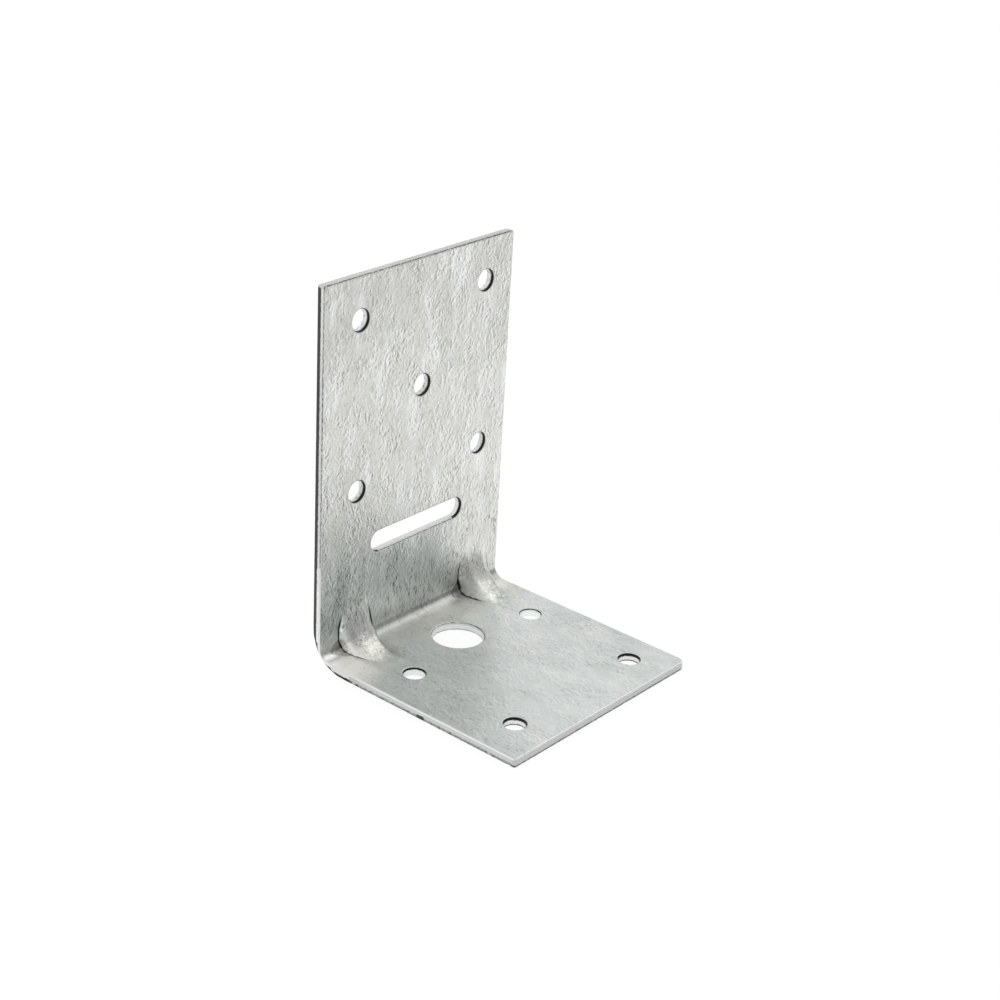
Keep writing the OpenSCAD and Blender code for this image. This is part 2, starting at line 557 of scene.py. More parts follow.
def fold_and_press_tree():
    """Folds the flat blank and presses the ribs and the drawn-in ends of the fold into it."""
    tree = bpy.data.node_groups.new("fold and press", "GeometryNodeTree")
    tree.interface.new_socket("Sheet", in_out="INPUT", socket_type="NodeSocketGeometry")
    names = [
        "Back", "Half Width", "Thickness", "Fold Radius",
        "Rib Radius", "Rib Runout", "Left Rib", "Right Rib", "Rib Crest", "Rib Taper",
        "Rib Shoulder", "Rib Slope", "Rib Blend", "Rib Soft Foot",
        "End Radius", "End Reach", "End Draw",
    ]
    for name in names:
        tree.interface.new_socket(name, in_out="INPUT", socket_type="NodeSocketFloat")
    tree.interface.new_socket("Finish", in_out="INPUT", socket_type="NodeSocketMaterial")
    tree.interface.new_socket("Sheet", in_out="OUTPUT", socket_type="NodeSocketGeometry")
    m = Sums(tree)
    given = m.node("NodeGroupInput").outputs
    place = m.node("ShaderNodeSeparateXYZ")
    tree.links.new(m.node("GeometryNodeInputPosition").outputs[0], place.inputs[0])
    x, s = place.outputs["X"], place.outputs["Y"]
    depth = m.mul(place.outputs["Z"], -1.0)
    radius, thickness = given["Fold Radius"], given["Thickness"]
    share = m.div(depth, thickness)

    # Fold: the middle quarter turn, then both legs straight on from it
    half = m.mul(radius, math.pi / 4)
    bent = m.do("MAXIMUM", m.do("MINIMUM", s, half), m.mul(half, -1.0))
    turn = m.add(m.div(bent, radius), math.pi / 4)
    over = m.sub(s, bent)
    sine, cosine = m.do("SINE", turn), m.do("COSINE", turn)
    heel = m.add(radius, thickness)
    reach = m.add(radius, depth)
    y = m.add(m.sub(given["Back"], heel), m.add(m.mul(reach, sine), m.mul(over, cosine)))
    z = m.add(heel, m.sub(m.mul(over, sine), m.mul(reach, cosine)))

    def press(y, z, centre, limit, blend, strength):
        """Draws points beyond limit from an axis near the corner back towards that axis."""
        dy = m.sub(y, m.sub(given["Back"], centre))
        dz = m.sub(z, centre)
        qy, qz = m.do("MAXIMUM", dy, 0.0), m.do("MINIMUM", dz, 0.0)
        past = m.sub(m.add(qy, m.mul(qz, -1.0)), m.sub(dy, dz))
        far = m.length(qy, qz)
        near = m.do("SMOOTH_MIN", far, m.add(limit, m.mul(past, RUN_OUT)), blend)
        pull = m.mul(m.sub(1.0, m.div(near, far)), strength)
        return m.sub(y, m.mul(qy, pull)), m.sub(z, m.mul(qz, pull))

    def flank(width, crest, shoulder, slope):
        """Depth of a rib's side below its crest: a round shoulder, then a straight slope."""
        off = m.do("MAXIMUM", m.sub(width, crest), 0.0)
        steep = m.div(slope, m.length(slope, 1.0))
        bend = m.do("MINIMUM", off, m.mul(shoulder, steep))
        fall = m.sub(shoulder, m.do("SQRT", m.sub(m.mul(shoulder, shoulder), m.mul(bend, bend))))
        return m.add(fall, m.mul(m.sub(off, bend), slope))

    # Ribs: the crest is a hollow curve, and the outer face follows it at the sheet's thickness
    left = m.do("ABSOLUTE", m.sub(x, given["Left Rib"]))
    right = m.do("ABSOLUTE", m.sub(x, given["Right Rib"]))
    width = m.do("MINIMUM", left, right)
    slope = given["Rib Slope"]
    shoulder = given["Rib Shoulder"]
    tight = m.do("MAXIMUM", m.sub(shoulder, thickness), m.mul(thickness, TIGHTEST))
    below = m.do("MINIMUM", m.div(m.do("MAXIMUM", m.mul(s, -1.0), 0.0), radius), 1.0)
    crest = m.sub(given["Rib Crest"], m.mul(given["Rib Taper"], below))
    inside = flank(width, crest, shoulder, slope)
    outside = m.add(flank(width, crest, tight, slope), thickness)
    drop = m.add(inside, m.mul(share, m.sub(outside, inside)))
    centre = m.sub(m.add(thickness, given["Rib Radius"]), given["Rib Runout"])
    past_left = m.do("MAXIMUM", m.sub(x, given["Left Rib"]), 0.0)
    past_right = m.do("MAXIMUM", m.sub(x, given["Right Rib"]), 0.0)
    past = m.do("MAXIMUM", m.mul(past_left, m.do("LESS_THAN", left, right)), past_right)
    aside = m.do("MINIMUM", m.div(past, radius), 1.0)
    blend = m.add(given["Rib Blend"], m.mul(given["Rib Soft Foot"], m.mul(below, aside)))
    y, z = press(y, z, centre, m.add(given["Rib Radius"], drop), blend, 1.0)

    # Ends of the fold: the outer face is drawn in over the last millimetre or so
    from_end = m.sub(given["Half Width"], m.do("ABSOLUTE", x))
    margin = m.do("MAXIMUM", m.div(from_end, given["End Reach"]), 0.0)
    bulge = m.mul(m.mul(margin, margin), m.mul(thickness, END_BULGE))
    limit = m.add(given["End Radius"], bulge)
    y, z = press(y, z, given["End Radius"], limit, m.mul(thickness, END_BLEND), share)
    near_fold = m.do("MAXIMUM", m.sub(1.0, m.div(m.do("ABSOLUTE", s), heel)), 0.0)
    fade = m.do("MAXIMUM", m.sub(1.0, margin), 0.0)
    draw = m.mul(m.mul(given["End Draw"], share), m.mul(near_fold, fade))
    x = m.sub(x, m.mul(m.do("SIGN", x), draw))

    bent_place = m.node("ShaderNodeCombineXYZ")
    for socket, value in zip(bent_place.inputs, (x, y, z)):
        m.feed(socket, value)
    move = m.node("GeometryNodeSetPosition")
    tree.links.new(given["Sheet"], move.inputs["Geometry"])
    tree.links.new(bent_place.outputs[0], move.inputs["Position"])
    real = m.node("GeometryNodeRealizeInstances")
    tree.links.new(move.outputs[0], real.inputs[0])
    finish = m.node("GeometryNodeSetMaterial")
    tree.links.new(real.outputs[0], finish.inputs["Geometry"])
    tree.links.new(given["Finish"], finish.inputs["Material"])
    tree.links.new(finish.outputs[0], m.node("NodeGroupOutput").inputs[0])
    return tree


def folded_sheet(finish):
    """The punched blank, folded and pressed into one mesh with the given finish."""
    blank = Blank()
    contours = [sheet_outline()]
    contours += [round_hole(*hole) for hole in ROUND_HOLES]
    contours.append(slot_hole(*SLOT))
    inner, outer = [], []
    for seed, contour in enumerate(contours):
        first, last = blank.wall(contour, seed)
        inner.append(first)
        outer.append(last)
    grid = grid_points()
    blank.face(inner, 0.0, INNER_MARGIN, grid)
    blank.face(outer, THICKNESS, OUTER_MARGIN, grid)
    sheet = bpy.data.objects.new("bracket_blank", blank.mesh())
    bpy.context.scene.collection.objects.link(sheet)

    tree = fold_and_press_tree()
    sizes = {
        "Back": BACK, "Half Width": WIDTH / 2, "Thickness": THICKNESS, "Fold Radius": FOLD_RADIUS,
        "Rib Radius": RIB_RADIUS, "Rib Runout": RIB_RUNOUT,
        "Left Rib": columns[0], "Right Rib": columns[1],
        "Rib Crest": RIB_CREST, "Rib Taper": RIB_TAPER, "Rib Shoulder": RIB_SHOULDER,
        "Rib Blend": RIB_BLEND, "Rib Soft Foot": RIB_SOFT_FOOT,
        "End Radius": END_RADIUS, "End Reach": END_REACH, "End Draw": END_DRAW,
    }
    values = {name: value * MM for name, value in sizes.items()}
    values["Rib Slope"] = RIB_SLOPE
    values["Finish"] = finish
    modifier = sheet.modifiers.new("fold and press", "NODES")
    modifier.node_group = tree
    for item in tree.interface.items_tree:
        if item.in_out == "INPUT" and item.name in values:
            modifier[item.identifier] = values[item.name]
    depsgraph = bpy.context.evaluated_depsgraph_get()
    mesh = bpy.data.meshes.new_from_object(sheet.evaluated_get(depsgraph), depsgraph=depsgraph)
    piece = bpy.data.objects.new("galvanised_sheet", mesh)
    bpy.context.scene.collection.objects.link(piece)
    bpy.data.objects.remove(sheet)
    mesh.shade_smooth()
    mesh.set_sharp_from_angle(angle=math.radians(50))
    return piece


def group_tree(name, inputs, outputs):
    """An empty shader group with its sockets, and its arithmetic."""
    tree = bpy.data.node_groups.new(name, "ShaderNodeTree")
    for label, kind, value in inputs:
        socket = tree.interface.new_socket(label, in_out="INPUT", socket_type=kind)
        if value is not None:
            socket.default_value = value
    for label, kind in outputs:
        tree.interface.new_socket(label, in_out="OUTPUT", socket_type=kind)
    m = Sums(tree)
    return tree, m, m.node("NodeGroupInput").outputs, m.node("NodeGroupOutput").inputs


FLOAT = "NodeSocketFloat"
VECTOR = "NodeSocketVector"


def stretched(m, place, along, across, turn=0.0, shift=0.0):
    """The sheet's own coordinates, turned and scaled, for a pattern that is longer one way."""
    mapping = m.node("ShaderNodeMapping")
    m.feed(mapping.inputs["Vector"], place)
    mapping.inputs["Location"].default_value = (shift, shift * 0.7, shift * 0.3)
    mapping.inputs["Rotation"].default_value = (0, 0, math.radians(turn))
    scaled = m.node("ShaderNodeVectorMath", operation="MULTIPLY")
    m.feed(scaled.inputs[0], mapping.outputs[0])
    scaled.inputs[1].default_value = (across, along, 1.0)
    return scaled.outputs[0]


def noise(m, vector, detail=3.0, roughness=0.5, distortion=0.0):
    node = m.node("ShaderNodeTexNoise", noise_type="FBM")
    m.feed(node.inputs["Vector"], vector)
    node.inputs["Scale"].default_value = 1.0
    node.inputs["Detail"].default_value = detail
    node.inputs["Roughness"].default_value = roughness
    node.inputs["Distortion"].default_value = distortion
    return node.outputs[0]


def ramp(m, value, low, high, to_low=0.0, to_high=1.0):
    """Runs smoothly from to_low, where value is low, to to_high, where value is high."""
    node = m.node("ShaderNodeMapRange", interpolation_type="SMOOTHSTEP", clamp=True)
    for socket, v in zip(node.inputs, (value, low, high, to_low, to_high)):
        m.feed(socket, v)
    return node.outputs[0]


def window(m, value, start, rise, fall, end):
    """1 from rise to fall, running smoothly down to 0 at start and at end."""
    return m.mul(ramp(m, value, start, rise), ramp(m, value, end, fall))


def ridge(m, value, width):
    """1 along the contour lines where a noise crosses its middle value, falling to 0 beside them."""
    off = m.do("ABSOLUTE", m.sub(value, 0.5))
    return ramp(m, off, 0.0, width, 1.0, 0.0)


def shifted(m, place, x, y):
    """The place a little aside, for a difference of heights."""
    node = m.node("ShaderNodeVectorMath", operation="ADD")
    m.feed(node.inputs[0], place)
    node.inputs[1].default_value = (x, y, 0.0)
    return node.outputs[0]


def zinc_relief():
    """Height of the raised wrinkles of the coat, from 0 to 1."""
    tree, m, given, out = group_tree("zinc relief", [("Place", VECTOR, None)], [("Height", FLOAT)])
    place = given["Place"]
    vein = noise(m, stretched(m, place, 0.26, 0.50, 18, 3), 2.0, 0.55, 1.1)
    curl = noise(m, stretched(m, place, 0.60, 1.10, 4, 29), 2.0, 0.6, 0.8)
    wrinkles = m.add(m.mul(ridge(m, vein, 0.08), 0.58), m.mul(ridge(m, curl, 0.09), 0.42))
    m.feed(out["Height"], wrinkles)
    return tree


def zinc_bloom():
    """Mottling, drips and wrinkles of a hot-dip zinc coat, with the wrinkles' light and shade painted in:
    tone about zero, height, shine and tint.
    """
    tree, m, given, out = group_tree(
        "zinc bloom",
        [("Place", VECTOR, None), ("Mottle", FLOAT, 1.0), ("Drips", FLOAT, 1.0), ("Crinkle", FLOAT, 1.0)],
        [("Tone", FLOAT), ("Height", FLOAT), ("Shine", FLOAT), ("Tint", FLOAT)],
    )
    place = given["Place"]
    relief = zinc_relief()

    def height(x, y):
        group = m.node("ShaderNodeGroup", node_tree=relief)
        m.feed(group.inputs["Place"], shifted(m, place, x, y))
        return group.outputs["Height"]

    cloud = m.sub(noise(m, stretched(m, place, 0.10, 0.16), 3.0), 0.5)
    patch = m.sub(noise(m, stretched(m, place, 0.35, 0.6, 0, 7), 3.0, 0.6), 0.5)
    drip = noise(m, stretched(m, place, 0.06, 0.30, 2, 13), 3.0, 0.6)
    drip = ramp(m, drip, 0.46, 0.74)
    grain = m.sub(noise(m, stretched(m, place, 2.4, 3.2, 0, 41), 1.0, 0.7), 0.5)
    tone = m.mul(m.add(m.mul(cloud, 0.30), m.mul(patch, 0.22)), given["Mottle"])
    tone = m.add(tone, m.mul(m.mul(drip, 0.18), given["Drips"]))
    # Painted light and shade of the wrinkles: their height a little to one side less their height to the
    # other
    lit = m.sub(height(-RELIEF_STEP, 0.3 * RELIEF_STEP), height(RELIEF_STEP, -0.3 * RELIEF_STEP))
    rough_place = noise(m, stretched(m, place, 0.13, 0.20, 0, 83), 3.0, 0.6)
    strength = ramp(m, rough_place, 0.38, 0.60, 0.12, 0.66)
    crinkle = m.add(m.mul(lit, strength), m.mul(grain, 0.50))
    tone = m.add(tone, m.mul(crinkle, given["Crinkle"]))
    m.feed(out["Tone"], tone)
    m.feed(out["Height"], m.mul(m.add(height(0.0, 0.0), m.mul(grain, 0.5)), given["Crinkle"]))
    m.feed(out["Shine"], m.mul(drip, given["Drips"]))
    m.feed(out["Tint"], m.add(m.mul(patch, 1.6), m.mul(cloud, 1.2)))
    return tree


def handling_marks():
    """Dark specks and fine scratches that handling leaves on a soft coat."""
    tree, m, given, out = group_tree(
        "handling marks",
        [
            ("Place", VECTOR, None), ("Specks", FLOAT, 1.0), ("Streaks", FLOAT, 0.0),
            ("Scratches", FLOAT, 1.0),
        ],
        [("Dark", FLOAT), ("Bright", FLOAT)],
    )
    place = given["Place"]
    speck = noise(m, stretched(m, place, 0.75, 2.1, 3, 5), 3.0, 0.65)
    where = noise(m, stretched(m, place, 0.05, 0.16, 0, 57), 1.0)
    speck = m.mul(ramp(m, speck, 0.54, 0.63), ramp(m, where, 0.36, 0.54))
    streak = noise(m, stretched(m, place, 0.16, 1.7, -1, 61), 2.0, 0.7)
    streak = m.mul(ramp(m, streak, 0.55, 0.68), given["Streaks"])
    bright = 0.0
    for turn, shift in ((8, 3), (-24, 17), (61, 31)):
        line = ridge(m, noise(m, stretched(m, place, 0.06, 1.3, turn, shift), 1.0, 0.4), 0.012)
        gate = ramp(m, noise(m, stretched(m, place, 0.12, 0.25, turn, shift + 5), 1.0), 0.56, 0.62)
        bright = m.add(bright, m.mul(line, gate))
    m.feed(out["Dark"], m.add(m.mul(speck, given["Specks"]), streak))
    m.feed(out["Bright"], m.mul(bright, given["Scratches"]))
    return tree


def attribute(m, name):
    return m.node("ShaderNodeAttribute", attribute_name=name).outputs


def split(m, vector):
    node = m.node("ShaderNodeSeparateXYZ")
    m.feed(node.inputs[0], vector)
    return node.outputs["X"], node.outputs["Y"], node.outputs["Z"]


def blend(m, base, over, share):
    mix = m.node("ShaderNodeMix", data_type="RGBA", clamp_factor=True)
    m.feed(mix.inputs[0], share)
    m.feed(mix.inputs[6], base)
    m.feed(mix.inputs[7], over)
    return mix.outputs[2]


def shade(m, colour, value):
    scale = m.node("ShaderNodeVectorMath", operation="SCALE")
    m.feed(scale.inputs[0], colour)
    m.feed(scale.inputs["Scale"], value)
    return scale.outputs[0]


def blank_place(m):
    """Where a point lay on the flat blank: a vector for patterns, and x, s and depth."""
    flat = attribute(m, "flat")["Vector"]
    apart = m.node("ShaderNodeVectorMath", operation="MULTIPLY")
    m.feed(apart.inputs[0], flat)
    apart.inputs[1].default_value = (1, 1, FACES_APART)
    x, s, up = split(m, flat)
    return apart.outputs[0], x, s, m.mul(up, -1.0)


def coat(m, place, x, s, upright, inner_face):
    """The coat region by region: its bloom, its tone with painted light on the upright's right, and the
    painted shade above the fold.
    """
    low_part = m.mul(upright, ramp(m, s, *LOW_PART))
    top_left = m.mul(ramp(m, s, *TOP_LEFT_UP), ramp(m, x, *TOP_LEFT_ASIDE))
    crinkle = m.add(0.26, m.mul(upright, ramp(m, s, 8.0, 30.0, 0.32, 0.74)))
    crinkle = m.mul(crinkle, ramp(m, m.do("ABSOLUTE", m.add(s, 0.6)), 1.0, 3.5, 0.3, 1.0))
    crinkle = m.mul(crinkle, m.sub(1.0, m.mul(top_left, 0.45)))
    bloom = m.node("ShaderNodeGroup", node_tree=zinc_bloom())
    m.feed(bloom.inputs["Place"], place)
    m.feed(bloom.inputs["Mottle"], m.add(1.3, m.mul(upright, -0.3)))
    m.feed(bloom.inputs["Drips"], upright)
    m.feed(bloom.inputs["Crinkle"], m.mul(crinkle, m.add(0.6, m.mul(inner_face, 0.4))))

    marks = m.node("ShaderNodeGroup", node_tree=handling_marks())
    m.feed(marks.inputs["Place"], place)
    m.feed(marks.inputs["Specks"], m.add(0.45, m.mul(low_part, 0.55)))
    m.feed(marks.inputs["Streaks"], m.mul(low_part, 0.62))

    tone = m.add(1.0, m.sub(bloom.outputs["Tone"], m.mul(ramp(m, s, *TOP_PART), TOP_SHADE)))
    dark = m.mul(marks.outputs["Dark"], MARK_SHADE)
    tone = m.sub(tone, m.add(dark, m.mul(top_left, TOP_LEFT_SHADE)))
    # Painted shade on the upright above the fold, weaker on the left rib
    low_shade = m.mul(window(m, s, *LOW_SHADE_ROWS), ramp(m, x, *LOW_SHADE_ASIDE))
    off_left = m.do("ABSOLUTE", m.sub(x, columns[0]))
    on_rib = m.mul(ramp(m, off_left, *ON_RIB), ramp(m, s, *RIB_PART))
    low_shade = m.mul(low_shade, m.sub(1.0, m.mul(on_rib, 0.9)))
    tone = m.sub(tone, m.mul(low_shade, LOW_SHADE_STRENGTH))
    # Painted light on the right of the upright
    bright_side = m.mul(ramp(m, x, *BRIGHT_ASIDE), window(m, s, *BRIGHT_ROWS))
    far_base = m.mul(ramp(m, x, *FAR_BASE_ASIDE), ramp(m, s, *FAR_BASE_DOWN))
    tone = m.add(tone, m.sub(m.mul(bright_side, BRIGHT_LIFT), m.mul(far_base, FAR_BASE_SHADE)))
    tone = m.add(tone, m.mul(marks.outputs["Bright"], SCRATCH_LIFT))
    return bloom.outputs, tone, low_shade


def cut_faces(m, depth, broken):
    """Masks of a cut face: painted shade in the mouth, whole wall and torn band, and the burnished band's
    colour.
    """
    cut = attribute(m, "cut")["Fac"]
    mouth_shading, tears, band = split(m, attribute(m, "edge")["Vector"])
    reach, shine, _ = split(m, attribute(m, "wall")["Vector"])
    ragged = m.add(depth, m.mul(m.sub(broken, 0.5), RAGGED))
    # Painted shade in the mouth, down to its reach
    mouth = m.mul(ramp(m, cut, 0.2, 0.5), ramp(m, m.sub(ragged, reach), 0.06, -0.06))
    mouth = m.mul(mouth, ramp(m, m.add(mouth_shading, broken), 0.82, 1.0))
    wall = ramp(m, cut, 0.8, 0.98)
    soft = ramp(m, tears, 0.52, 0.60, 0.45, 0.10)
    # The torn band; at the front holes it also paints the shadow line low in the opening
    torn = m.mul(wall, ramp(m, m.sub(ragged, m.mul(band, THICKNESS)), -0.05, soft))
    torn = m.mul(torn, ramp(m, m.add(tears, broken), 0.88, 1.0))
    burnished = m.node("ShaderNodeCombineXYZ")
    tinted = m.mul(shine, BURNISH_TINT)
    for socket, value in zip(burnished.inputs, (tinted, shine, tinted)):
        m.feed(socket, value)
    return cut, mouth, wall, torn, burnished.outputs[0]


def wear_and_painted_light(m, place, x, s, left, right):
    """Zinc rubbed at the near corner and lightened further as painted light, and painted light and shade
    on the strip along the fold, its seam and the ribs' lower parts.
    """
    off_crest = m.do("MINIMUM", m.do("ABSOLUTE", left), m.do("ABSOLUTE", right))
    between = ramp(m, off_crest, *OFF_CREST)
    # The crests' smoother finish, and where their painted light and shade go
    polish_and_light = m.mul(ramp(m, off_crest, *ON_CREST), window(m, s, *CREST_LIGHT_ROWS))
    blotch = m.sub(noise(m, stretched(m, place, 0.55, 0.75, 0, 97), 3.0, 0.6), 0.5)
    frosted = m.sub(noise(m, stretched(m, place, 2.0, 2.4, 0, 131), 2.0, 0.7), 0.5)

    # Painted light on the base along the fold, and the rubbed near corner, lightened further as painted
    # light
    strip = m.mul(window(m, s, *STRIP_ROWS), ramp(m, x, *STRIP_ASIDE))
    corner = m.mul(ramp(m, x, *CORNER_ASIDE), window(m, s, *CORNER_ROWS))
    corner_wear_and_lift = m.add(CORNER_WEAR_AND_LIFT, m.mul(blotch, CORNER_BLOTCH))
    wear_and_light = m.add(m.mul(strip, STRIP_LIFT), m.mul(corner, corner_wear_and_lift))
    # Painted shade on the fold and beyond the right rib
    fold = m.mul(window(m, s, *FOLD_ROWS), between)
    beyond = m.mul(ramp(m, x, *BEYOND_ASIDE), window(m, s, *BEYOND_ROWS))
    fold_shade = m.mul(fold, m.sub(FOLD_SHADE, m.mul(corner, FOLD_SHADE)))
    wear_and_light = m.sub(wear_and_light, m.add(fold_shade, m.mul(beyond, BEYOND_SHADE)))

    # Painted light on the base near the fold between the ribs, and painted shade along the fold's seam
    near_strip = m.mul(window(m, s, *NEAR_STRIP_ROWS), m.mul(ramp(m, x, *NEAR_STRIP_ASIDE), between))
    seam_fade = m.mul(ramp(m, x, -22.0, 14.0, 0.5, 1.6), ramp(m, x, 22.0, 26.0, 1.0, 0.2))
    seam = m.mul(window(m, s, *SEAM_ROWS), m.mul(between, seam_fade))
    wear_and_light = m.add(wear_and_light, m.sub(m.mul(near_strip, NEAR_STRIP_LIFT), m.mul(seam, SEAM_SHADE)))
    # Painted light on the fold's top at the left end
    fold_top = m.mul(window(m, s, *FOLD_TOP_ROWS), ramp(m, x, *FOLD_TOP_ASIDE))
    wear_and_light = m.add(wear_and_light, m.mul(fold_top, FOLD_TOP_LIFT))

    # Painted glint at the far left end of the base
    tip_glint = m.mul(ramp(m, x, *TIP_ASIDE), window(m, s, *TIP_ROWS))
    wear_and_light = m.add(wear_and_light, m.mul(tip_glint, TIP_GLINT))
    grain = m.add(m.mul(m.add(corner, tip_glint), CORNER_GRAIN), m.mul(polish_and_light, CREST_GRAIN))
    wear_and_light = m.add(wear_and_light, m.mul(frosted, grain))
    # Painted shade on the base beside the left rib's foot
    beside = m.mul(window(m, left, *BESIDE_FOOT), window(m, s, *BESIDE_ROWS))
    wear_and_light = m.sub(wear_and_light, m.mul(beside, BESIDE_SHADE))

    # Painted light and shade on the rib crests, on top of their mottling
    left_side = ramp(m, x, *LEFT_SIDE)
    crest_light = m.mul(window(m, right, *RIGHT_FLANK), RIGHT_FLANK_LIFT)
    crest_light = m.sub(crest_light, m.add(CREST_SHADE, m.mul(left_side, LEFT_CREST_SHADE)))
    wear_and_light = m.add(wear_and_light, m.mul(polish_and_light, m.add(m.mul(blotch, CREST_BLOTCH), crest_light)))
    return wear_and_light, strip, corner, between, polish_and_light


def crease_shading(m, s, left, right, broken):
    """Painted shade in the creases beside the ribs and in the pits at their left, and a painted gleam."""
    jitter = m.mul(m.sub(broken, 0.5), CREASE_JITTER)
    left_out, right_out = m.mul(left, -1.0), m.mul(right, -1.0)

    def crease(away, path, width, low, fade_in, high, fade_out):
        """A line of painted shade at the distance path from a crest, from s = low to s = high."""
        near = m.do("ABSOLUTE", m.add(m.sub(away, path), jitter))
        ends = m.mul(ramp(m, s, low, low + fade_in), ramp(m, s, high, high - fade_out))
        return m.mul(ramp(m, m.div(near, width), 1.0, 0.35), ends)

    def pit(away, reach, shade_high, shade_low):
        """Painted shade of the pit left of a rib, and painted shade in the crease along its upper rim."""
        rim_s, rim_away, rim_slope = PIT_RIM
        low_s, low_away, low_slope = PIT_LOW
        high = m.sub(rim_s, m.mul(m.sub(away, rim_away), rim_slope))
        low = m.sub(low_s, m.mul(m.sub(low_away, away), low_slope))
        inside = m.mul(ramp(m, away, 4.5, 4.9), ramp(m, away, reach + 0.6, reach - 0.6))
        hollow = m.mul(ramp(m, s, low, m.add(low, 0.5)), ramp(m, s, high, m.sub(high, 0.3)))
        hollow = m.mul(m.mul(hollow, inside), ramp(m, s, 0.9, -0.1, shade_high, shade_low))
        rim = ramp(m, m.do("ABSOLUTE", m.add(m.sub(s, high), jitter)), 0.16, 0.05)
        rim = m.mul(m.mul(rim, ramp(m, away, reach, 6.2)), m.mul(ramp(m, away, 4.8, 5.1), 0.75))
        return hollow, rim

    steep_foot = m.sub(STEEP_FOOT, ramp(m, s, 4.0, 9.2, 0.0, 1.0))
    lower_foot = m.sub(LOWER_FOOT, ramp(m, s, 0.0, -3.0, 0.0, RIB_TAPER))
    lower_foot = m.sub(lower_foot, m.mul(m.mul(s, s), LOWER_CURVE))
    soft_foot = m.sub(SOFT_FOOT, m.mul(m.do("MAXIMUM", m.sub(s, SOFT_START), 0.0), SOFT_SLOPE))
    steep_width = ramp(m, s, 1.0, 5.5, 0.22, 0.46)
    # Painted shade in the creases beside the ribs
    crease_shade = crease(left_out, steep_foot, steep_width, -0.2, 0.6, 8.8, 3.0)
    crease_shade = m.add(crease_shade, crease(right_out, m.sub(steep_foot, 0.15), 0.28, 0.0, 0.6, 8.6, 3.0))
    crease_shade = m.add(crease_shade, m.mul(crease(left_out, lower_foot, 0.18, -7.8, 2.0, 1.6, 0.8), 0.8))
    crease_shade = m.add(crease_shade, crease(right_out, lower_foot, 0.18, -7.8, 2.8, 1.6, 0.8))
    crease_shade = m.add(crease_shade, crease(left, soft_foot, 0.36, 0.2, 0.6, 9.0, 3.6))
    faint = crease(right, m.add(soft_foot, 0.3), 0.30, -2.0, 2.5, 7.6, 2.5)
    crease_shade = m.add(crease_shade, m.mul(faint, m.mul(broken, 0.7)))
    # Painted shade in the pits left of the ribs, with crease shade along their rims
    left_pit_shade, left_rim = pit(left_out, 8.3, 0.30, 0.56)
    right_pit_shade, right_rim = pit(right_out, 8.0, 0.20, 0.32)
    crease_shade = m.add(crease_shade, m.add(left_rim, right_rim))
    # A painted highlight beside the steep crease
    gleam = m.do("ABSOLUTE", m.sub(left_out, m.sub(steep_foot, 0.50)))
    gleam = m.mul(ramp(m, gleam, 0.24, 0.10), window(m, s, *GLEAM_ROWS))
    return crease_shade, m.add(left_pit_shade, right_pit_shade), gleam


